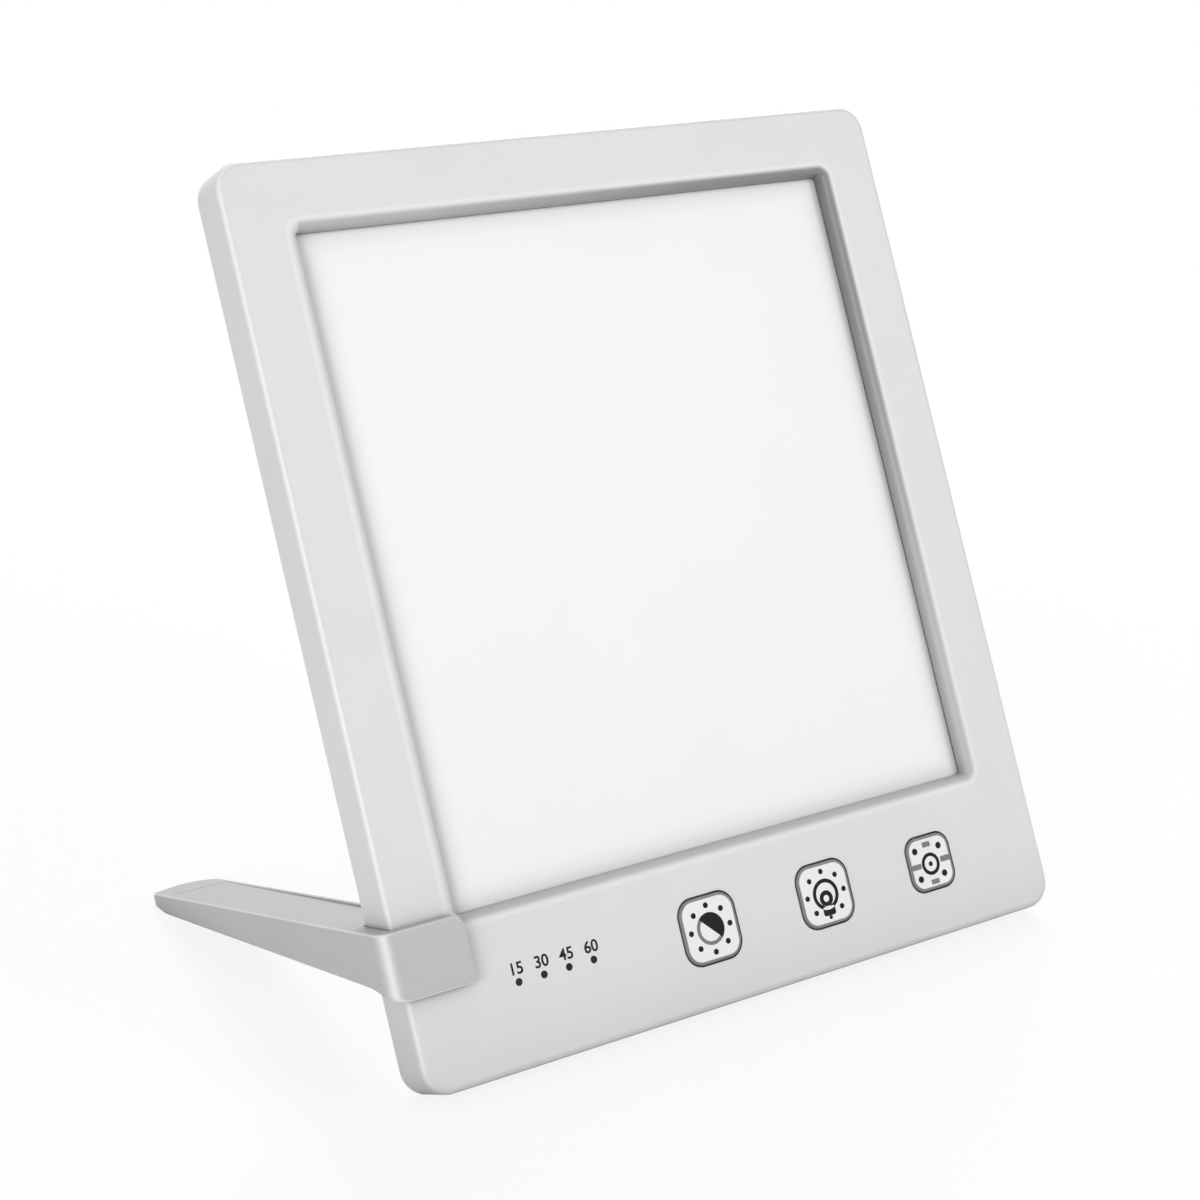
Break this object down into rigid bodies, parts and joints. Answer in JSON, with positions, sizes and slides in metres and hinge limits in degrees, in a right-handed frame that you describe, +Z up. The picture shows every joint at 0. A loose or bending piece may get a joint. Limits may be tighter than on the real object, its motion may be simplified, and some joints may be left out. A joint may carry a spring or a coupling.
{
  "type": "light therapy lamp",
  "caption": "Flat white light therapy lamp that leans back on its lower edge and a push-on clip foot with a rear arm, with a recessed lit window and push keys below it.",
  "frame": {"origin": "middle of the flat strip on the panel's lower rear edge that rests on the table", "axes": "+Z up from the table, -Y the way the lit window faces, +X to the right seen from the front"},
  "size_m": [0.169, 0.1242, 0.1767],
  "materials": {
    "case_white": "satin moulded, fine texture",
    "cover_white": "fine texture",
    "foot_white": "satin moulded",
    "key_white": "semi gloss",
    "opal_diffuser": "opal, matt face",
    "clear_film": "finely ribbed film",
    "clear_acrylic": "clear, polished edges",
    "white_film": "matt film",
    "tray_aluminium": "rolled sheet",
    "strip_board_white": "white solder mask",
    "led_phosphor": "cast resin",
    "board_green": "solder mask",
    "connector_cream": "moulded",
    "part_black": "moulded",
    "switch_body": "moulded",
    "coil_grey": "sintered ferrite",
    "capacitor_can": "drawn can",
    "contact_brass": "plated",
    "lens_dark": "smoked, polished",
    "foam_grey": "closed-cell foam",
    "screw_steel": "zinc plated",
    "tip_rubber": "matt"
  },
  "bodies": {
    "panel": {"front_case": "case_white", "rear_cover": "cover_white", "case_screws": "screw_steel", "window_gasket": "foam_grey", "diffuser_plate": "opal_diffuser", "prism_film": "clear_film", "light_guide": "clear_acrylic", "reflector_sheet": "white_film", "back_tray": "tray_aluminium", "led_strip_left": "strip_board_white", "led_strip_right": "strip_board_white", "led_chips_left": "led_phosphor", "led_chips_right": "led_phosphor", "control_board": "board_green", "board_screws": "screw_steel", "strip_connector_left": "connector_cream", "strip_connector_right": "connector_cream", "driver_chip": "part_black", "driver_coil": "coil_grey", "filter_capacitor": "capacitor_can", "power_jack": "part_black", "jack_pin": "contact_brass", "timer_chips": "led_phosphor", "timer_light_15": "lens_dark", "timer_light_30": "lens_dark", "timer_light_45": "lens_dark", "timer_light_60": "lens_dark", "brightness_switch": "switch_body", "colour_switch": "switch_body", "timer_switch": "switch_body"},
    "foot": {"clip_foot": "foot_white", "foot_cover": "foot_white", "foot_cover_screws": "screw_steel", "tip_pad": "tip_rubber"},
    "brightness_button": {"brightness_key": "key_white", "brightness_switch_plunger": "part_black"},
    "colour_button": {"colour_key": "key_white", "colour_switch_plunger": "part_black"},
    "timer_button": {"timer_key": "key_white", "timer_switch_plunger": "part_black"}
  },
  "joints": [
    {"name": "foot_slide", "type": "slide", "parent": "panel", "child": "foot", "axis": [-1, 0, 0], "range_m": [0, 0.018]},
    {"name": "brightness_press", "type": "slide", "parent": "panel", "child": "brightness_button", "axis": [0, 0.9114, -0.4115], "range_m": [0, 0.0006], "stiffness_N_per_m": 1500, "springref_m": -0.0006},
    {"name": "colour_press", "type": "slide", "parent": "panel", "child": "colour_button", "axis": [0, 0.9114, -0.4115], "range_m": [0, 0.0006], "stiffness_N_per_m": 1500, "springref_m": -0.0006},
    {"name": "timer_press", "type": "slide", "parent": "panel", "child": "timer_button", "axis": [0, 0.9114, -0.4115], "range_m": [0, 0.0006], "stiffness_N_per_m": 1500, "springref_m": -0.0006}
  ]
}
